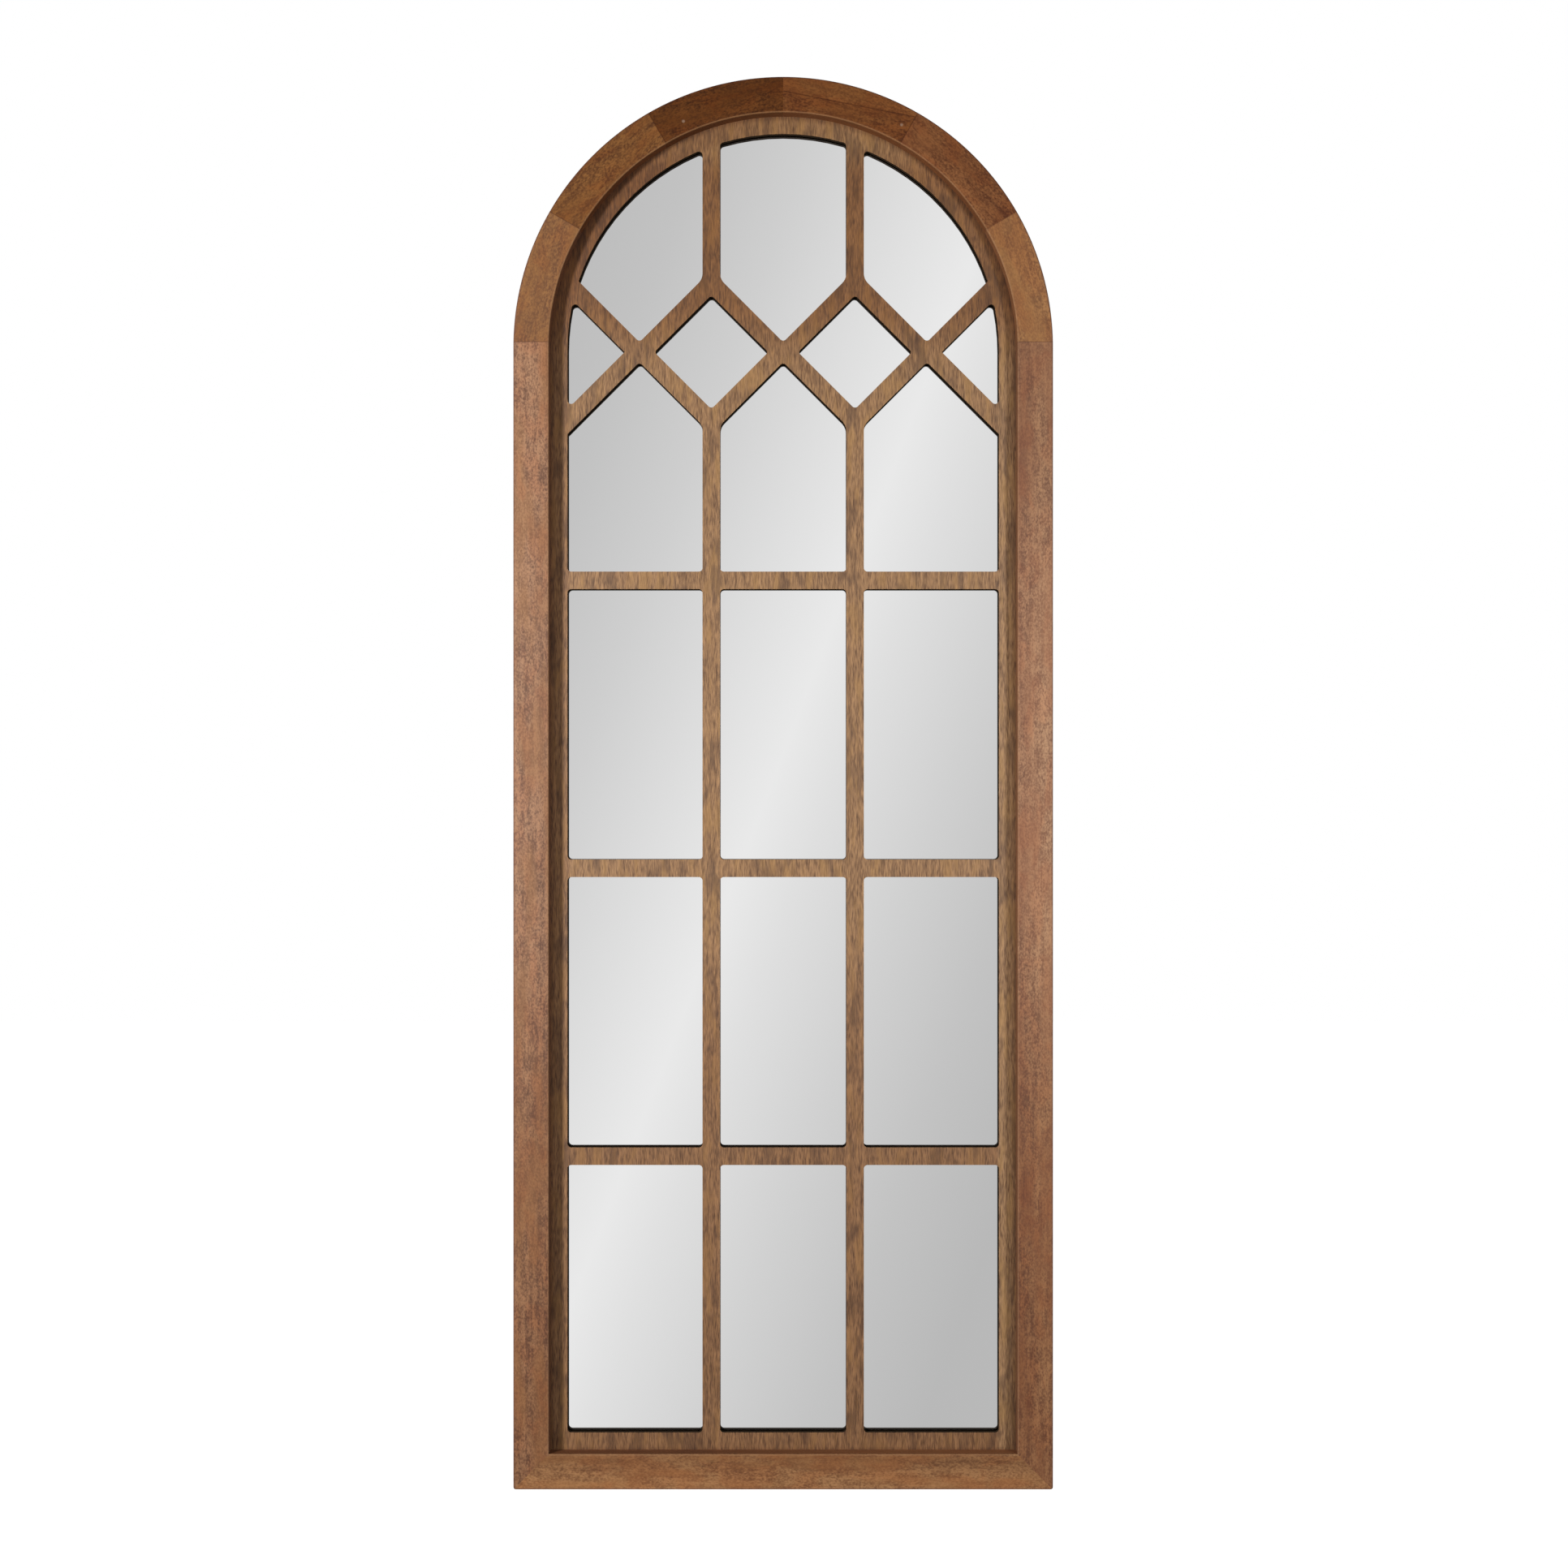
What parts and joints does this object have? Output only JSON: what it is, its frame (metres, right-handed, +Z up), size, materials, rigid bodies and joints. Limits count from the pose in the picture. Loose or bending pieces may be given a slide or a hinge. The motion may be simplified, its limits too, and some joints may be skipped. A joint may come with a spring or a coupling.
{
  "type": "arched window mirror",
  "caption": "Tall wall mirror with a half-round head, a wooden frame in joined segments and a cut lattice of window panes over one sheet of mirror.",
  "frame": {"origin": "midway between the two hanger hinges, on the wall plane that the rubber bumpers touch", "axes": "+X to the right seen from the front, +Y from the front towards the wall, +Z up"},
  "size_m": [0.4572, 0.038, 1.1968],
  "materials": {
    "stile_left": "matte",
    "stile_right": "matte",
    "bottom_rail": "matte",
    "arch_segment_left_lower": "matte",
    "arch_segment_left_middle": "matte",
    "arch_segment_left_upper": "matte",
    "arch_segment_right_upper": "matte",
    "arch_segment_right_middle": "matte",
    "arch_segment_right_lower": "matte",
    "pane_lattice": "matte",
    "mirror": "polished",
    "hardboard": "matte",
    "zinc_steel": "satin",
    "beech": "matte",
    "rubber": "matte"
  },
  "bodies": {
    "frame": {"stile_left": "stile_left", "stile_right": "stile_right", "bottom_rail": "bottom_rail", "arch_segment_left_lower": "arch_segment_left_lower", "arch_segment_left_middle": "arch_segment_left_middle", "arch_segment_left_upper": "arch_segment_left_upper", "arch_segment_right_upper": "arch_segment_right_upper", "arch_segment_right_middle": "arch_segment_right_middle", "arch_segment_right_lower": "arch_segment_right_lower", "pane_lattice": "pane_lattice", "mirror_glass": "mirror", "backing_board": "hardboard", "backing_points": "zinc_steel", "joint_dowels": "beech", "corner_nails": "zinc_steel", "hanger_screws": "zinc_steel", "hanger_strap_left": "zinc_steel", "hanger_strap_right": "zinc_steel", "bumper_left": "rubber", "bumper_right": "rubber"},
    "ring_left": {"hanger_ring_left": "zinc_steel"},
    "ring_right": {"hanger_ring_right": "zinc_steel"}
  },
  "joints": [
    {"name": "ring_left_swing", "type": "hinge", "parent": "frame", "child": "ring_left", "pos_m": [-0.2181, -0.00342, 0], "axis": [1, 0, 0], "range_deg": [0, 180]},
    {"name": "ring_right_swing", "type": "hinge", "parent": "frame", "child": "ring_right", "pos_m": [0.2181, -0.00342, 0], "axis": [1, 0, 0], "range_deg": [0, 180]}
  ]
}
